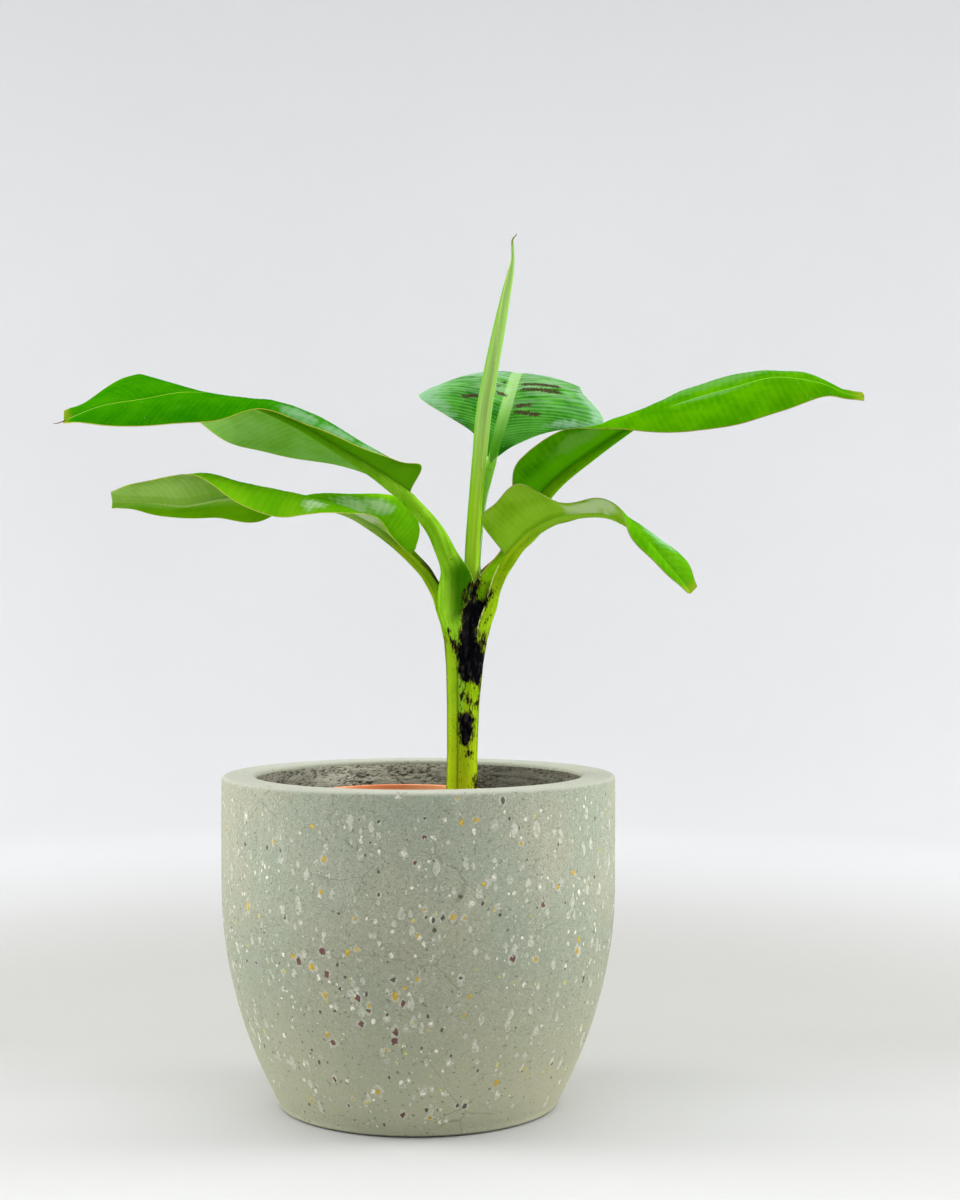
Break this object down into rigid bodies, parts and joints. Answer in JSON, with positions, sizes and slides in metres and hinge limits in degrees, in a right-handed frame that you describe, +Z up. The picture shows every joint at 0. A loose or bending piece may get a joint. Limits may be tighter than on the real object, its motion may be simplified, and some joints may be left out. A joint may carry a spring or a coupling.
{
  "type": "potted banana plant",
  "caption": "Young banana plant with arching leaves and a rolled spear, in a nursery pot set inside a heavy round concrete planter.",
  "frame": {"origin": "centre of the planter's flat underside, on the floor", "axes": "+Z up, -Y the near side of the plant, -X its left and +X its right as seen from the near side"},
  "size_m": [0.7232, 0.4607, 0.8001],
  "materials": {
    "concrete": "matt",
    "mix": "matt",
    "nursery_plastic": "satin",
    "trunk": "satin",
    "stalk": "satin",
    "leaf": "satin"
  },
  "bodies": {
    "root": {"planter": "concrete", "planter_bed": "mix", "nursery_pot": "nursery_plastic", "potting_soil": "mix", "trunk": "trunk", "spear": "stalk", "upper_left_stalk": "stalk", "upper_left_blade_inner": "leaf", "upper_left_blade_outer": "leaf", "lower_left_stalk": "stalk", "lower_left_blade_inner": "leaf", "lower_left_blade_outer": "leaf", "back_stalk": "stalk", "back_blade_inner": "leaf", "back_blade_outer": "leaf", "upper_right_stalk": "stalk", "upper_right_blade_inner": "leaf", "upper_right_blade_outer": "leaf", "lower_right_stalk": "stalk", "lower_right_blade_inner": "leaf", "lower_right_blade_outer": "leaf"}
  },
  "joints": []
}
